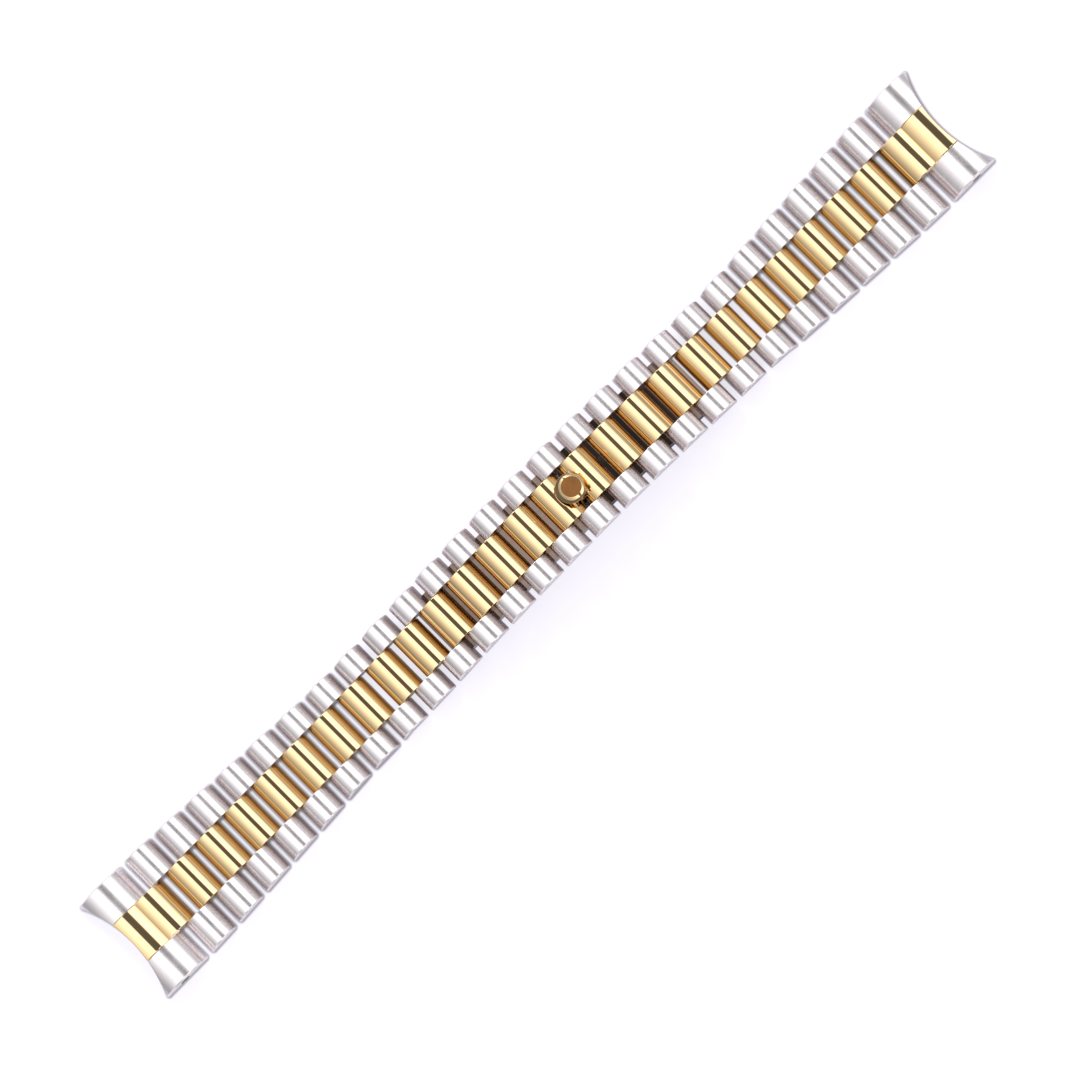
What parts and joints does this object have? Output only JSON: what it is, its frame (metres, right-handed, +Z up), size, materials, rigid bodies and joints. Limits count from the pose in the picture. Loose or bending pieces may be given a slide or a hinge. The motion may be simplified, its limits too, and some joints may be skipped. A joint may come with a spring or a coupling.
{
  "type": "link watch bracelet",
  "caption": "Two-tone watch bracelet of half-round three-row links hinged on pins, with curved end links bored for spring bars and a concealed folding clasp opened by a round lever.",
  "frame": {"origin": "under the middle of the strap, on the surface that the closed bracelet lies on", "axes": "+X along the strap to the end link on the cover plate's side, +Y across the strap, +Z up, out of the links' round tops"},
  "size_m": [0.1844, 0.02, 0.011],
  "materials": {
    "link_steel": "satin on top along the links, polished at their edges",
    "yellow_gold": "polished yellow gold",
    "clasp_steel": "brushed",
    "pin_steel": "polished"
  },
  "bodies": {
    "clasp_base": {"lower_blade": "clasp_steel", "link_rail": "clasp_steel", "snap_studs": "pin_steel", "lower_fold_pin": "pin_steel", "rail_outer_links": "link_steel", "centre_link_10": "yellow_gold", "centre_link_11": "yellow_gold", "centre_link_12": "yellow_gold", "centre_link_13": "yellow_gold", "centre_link_14": "yellow_gold"},
    "fold_blade": {"fold_blade": "clasp_steel"},
    "cover": {"cover_plate": "clasp_steel", "upper_fold_pin": "pin_steel", "lever_spring": "pin_steel", "cover_outer_links": "link_steel", "centre_link_15": "yellow_gold", "centre_link_16": "yellow_gold", "centre_link_17": "yellow_gold", "centre_link_18": "yellow_gold"},
    "lever": {"release_lever": "yellow_gold", "lever_disc": "yellow_gold"},
    "centre_09": {"centre_link_09": "yellow_gold"},
    "outer_09": {"outer_links_09": "link_steel"},
    "centre_08": {"centre_link_08": "yellow_gold"},
    "outer_08": {"outer_links_08": "link_steel"},
    "centre_07": {"centre_link_07": "yellow_gold"},
    "outer_07": {"outer_links_07": "link_steel"},
    "centre_06": {"centre_link_06": "yellow_gold"},
    "outer_06": {"outer_links_06": "link_steel"},
    "centre_05": {"centre_link_05": "yellow_gold"},
    "outer_05": {"outer_links_05": "link_steel"},
    "centre_04": {"centre_link_04": "yellow_gold"},
    "outer_04": {"outer_links_04": "link_steel"},
    "centre_03": {"centre_link_03": "yellow_gold"},
    "outer_03": {"outer_links_03": "link_steel"},
    "centre_02": {"centre_link_02": "yellow_gold"},
    "outer_02": {"outer_links_02": "link_steel"},
    "centre_01": {"centre_link_01": "yellow_gold"},
    "outer_01": {"outer_links_01": "link_steel"},
    "left_end": {"left_end_link_body": "link_steel", "left_end_link_inlay": "yellow_gold"},
    "centre_19": {"centre_link_19": "yellow_gold"},
    "outer_20": {"outer_links_20": "link_steel"},
    "centre_20": {"centre_link_20": "yellow_gold"},
    "outer_21": {"outer_links_21": "link_steel"},
    "centre_21": {"centre_link_21": "yellow_gold"},
    "outer_22": {"outer_links_22": "link_steel"},
    "centre_22": {"centre_link_22": "yellow_gold"},
    "outer_23": {"outer_links_23": "link_steel"},
    "centre_23": {"centre_link_23": "yellow_gold"},
    "outer_24": {"outer_links_24": "link_steel"},
    "centre_24": {"centre_link_24": "yellow_gold"},
    "outer_25": {"outer_links_25": "link_steel"},
    "centre_25": {"centre_link_25": "yellow_gold"},
    "outer_26": {"outer_links_26": "link_steel"},
    "right_end": {"right_end_link_body": "link_steel", "right_end_link_inlay": "yellow_gold"}
  },
  "joints": [
    {"name": "fold_blade_hinge", "type": "hinge", "parent": "clasp_base", "child": "fold_blade", "pos_m": [0.03323, 0, 0.00183], "axis": [0, 1, 0], "range_deg": [0, 150]},
    {"name": "cover_hinge", "type": "hinge", "parent": "fold_blade", "child": "cover", "pos_m": [0.01451, 0, 0.00525], "axis": [0, -1, 0], "range_deg": [0, 150]},
    {"name": "release_lever_hinge", "type": "hinge", "parent": "cover", "child": "lever", "pos_m": [0.0112, 0, 0.00785], "axis": [0, 1, 0], "range_deg": [0, 15], "stiffness_Nm_per_rad": 0.02, "springref_deg": -5.73},
    {"name": "link_hinge_19", "type": "hinge", "parent": "clasp_base", "child": "centre_09", "pos_m": [-0.02354, 0, 0.00338], "axis": [0, -1, 0], "range_deg": [-1.19, 16.82]},
    {"name": "link_hinge_18", "type": "hinge", "parent": "centre_09", "child": "outer_09", "pos_m": [-0.02667, 0, 0.00273], "axis": [0, -1, 0], "range_deg": [-4.05, 13.95]},
    {"name": "link_hinge_17", "type": "hinge", "parent": "outer_09", "child": "centre_08", "pos_m": [-0.02982, 0, 0.00219], "axis": [0, -1, 0], "range_deg": [-4.05, 13.95]},
    {"name": "link_hinge_16", "type": "hinge", "parent": "centre_08", "child": "outer_08", "pos_m": [-0.03299, 0, 0.00175], "axis": [0, -1, 0], "range_deg": [-4.05, 13.95]},
    {"name": "link_hinge_15", "type": "hinge", "parent": "outer_08", "child": "centre_07", "pos_m": [-0.03618, 0, 0.00143], "axis": [0, -1, 0], "range_deg": [-4.05, 13.95]},
    {"name": "link_hinge_14", "type": "hinge", "parent": "centre_07", "child": "outer_07", "pos_m": [-0.03937, 0, 0.00121], "axis": [0, -1, 0], "range_deg": [-4.05, 13.95]},
    {"name": "link_hinge_13", "type": "hinge", "parent": "outer_07", "child": "centre_06", "pos_m": [-0.04257, 0, 0.0011], "axis": [0, -1, 0], "range_deg": [-4.05, 13.95]},
    {"name": "link_hinge_12", "type": "hinge", "parent": "centre_06", "child": "outer_06", "pos_m": [-0.04577, 0, 0.0011], "axis": [0, -1, 0], "range_deg": [-6, 12]},
    {"name": "link_hinge_11", "type": "hinge", "parent": "outer_06", "child": "centre_05", "pos_m": [-0.04897, 0, 0.0011], "axis": [0, -1, 0], "range_deg": [-6, 12]},
    {"name": "link_hinge_10", "type": "hinge", "parent": "centre_05", "child": "outer_05", "pos_m": [-0.05217, 0, 0.0011], "axis": [0, -1, 0], "range_deg": [-6, 12]},
    {"name": "link_hinge_09", "type": "hinge", "parent": "outer_05", "child": "centre_04", "pos_m": [-0.05537, 0, 0.0011], "axis": [0, -1, 0], "range_deg": [-6, 12]},
    {"name": "link_hinge_08", "type": "hinge", "parent": "centre_04", "child": "outer_04", "pos_m": [-0.05857, 0, 0.0011], "axis": [0, -1, 0], "range_deg": [-6, 12]},
    {"name": "link_hinge_07", "type": "hinge", "parent": "outer_04", "child": "centre_03", "pos_m": [-0.06177, 0, 0.0011], "axis": [0, -1, 0], "range_deg": [-6, 12]},
    {"name": "link_hinge_06", "type": "hinge", "parent": "centre_03", "child": "outer_03", "pos_m": [-0.06497, 0, 0.0011], "axis": [0, -1, 0], "range_deg": [-6, 12]},
    {"name": "link_hinge_05", "type": "hinge", "parent": "outer_03", "child": "centre_02", "pos_m": [-0.06817, 0, 0.0011], "axis": [0, -1, 0], "range_deg": [-6, 12]},
    {"name": "link_hinge_04", "type": "hinge", "parent": "centre_02", "child": "outer_02", "pos_m": [-0.07137, 0, 0.0011], "axis": [0, -1, 0], "range_deg": [-6, 12]},
    {"name": "link_hinge_03", "type": "hinge", "parent": "outer_02", "child": "centre_01", "pos_m": [-0.07457, 0, 0.0011], "axis": [0, -1, 0], "range_deg": [-6, 12]},
    {"name": "link_hinge_02", "type": "hinge", "parent": "centre_01", "child": "outer_01", "pos_m": [-0.07777, 0, 0.0011], "axis": [0, -1, 0], "range_deg": [-6, 12]},
    {"name": "link_hinge_01", "type": "hinge", "parent": "outer_01", "child": "left_end", "pos_m": [-0.08097, 0, 0.0011], "axis": [0, -1, 0], "range_deg": [-6, 12]},
    {"name": "link_hinge_38", "type": "hinge", "parent": "cover", "child": "centre_19", "pos_m": [0.03634, 0, 0.00338], "axis": [0, 1, 0], "range_deg": [-1.19, 16.82]},
    {"name": "link_hinge_39", "type": "hinge", "parent": "centre_19", "child": "outer_20", "pos_m": [0.03947, 0, 0.00273], "axis": [0, 1, 0], "range_deg": [-4.05, 13.95]},
    {"name": "link_hinge_40", "type": "hinge", "parent": "outer_20", "child": "centre_20", "pos_m": [0.04262, 0, 0.00219], "axis": [0, 1, 0], "range_deg": [-4.05, 13.95]},
    {"name": "link_hinge_41", "type": "hinge", "parent": "centre_20", "child": "outer_21", "pos_m": [0.04579, 0, 0.00175], "axis": [0, 1, 0], "range_deg": [-4.05, 13.95]},
    {"name": "link_hinge_42", "type": "hinge", "parent": "outer_21", "child": "centre_21", "pos_m": [0.04898, 0, 0.00143], "axis": [0, 1, 0], "range_deg": [-4.05, 13.95]},
    {"name": "link_hinge_43", "type": "hinge", "parent": "centre_21", "child": "outer_22", "pos_m": [0.05217, 0, 0.00121], "axis": [0, 1, 0], "range_deg": [-4.05, 13.95]},
    {"name": "link_hinge_44", "type": "hinge", "parent": "outer_22", "child": "centre_22", "pos_m": [0.05537, 0, 0.0011], "axis": [0, 1, 0], "range_deg": [-4.05, 13.95]},
    {"name": "link_hinge_45", "type": "hinge", "parent": "centre_22", "child": "outer_23", "pos_m": [0.05857, 0, 0.0011], "axis": [0, 1, 0], "range_deg": [-6, 12]},
    {"name": "link_hinge_46", "type": "hinge", "parent": "outer_23", "child": "centre_23", "pos_m": [0.06177, 0, 0.0011], "axis": [0, 1, 0], "range_deg": [-6, 12]},
    {"name": "link_hinge_47", "type": "hinge", "parent": "centre_23", "child": "outer_24", "pos_m": [0.06497, 0, 0.0011], "axis": [0, 1, 0], "range_deg": [-6, 12]},
    {"name": "link_hinge_48", "type": "hinge", "parent": "outer_24", "child": "centre_24", "pos_m": [0.06817, 0, 0.0011], "axis": [0, 1, 0], "range_deg": [-6, 12]},
    {"name": "link_hinge_49", "type": "hinge", "parent": "centre_24", "child": "outer_25", "pos_m": [0.07137, 0, 0.0011], "axis": [0, 1, 0], "range_deg": [-6, 12]},
    {"name": "link_hinge_50", "type": "hinge", "parent": "outer_25", "child": "centre_25", "pos_m": [0.07457, 0, 0.0011], "axis": [0, 1, 0], "range_deg": [-6, 12]},
    {"name": "link_hinge_51", "type": "hinge", "parent": "centre_25", "child": "outer_26", "pos_m": [0.07777, 0, 0.0011], "axis": [0, 1, 0], "range_deg": [-6, 12]},
    {"name": "link_hinge_52", "type": "hinge", "parent": "outer_26", "child": "right_end", "pos_m": [0.08097, 0, 0.0011], "axis": [0, 1, 0], "range_deg": [-6, 12]}
  ],
  "couplings": [
    {"joint": "cover_hinge", "follows": "fold_blade_hinge", "ratio": 1}
  ]
}
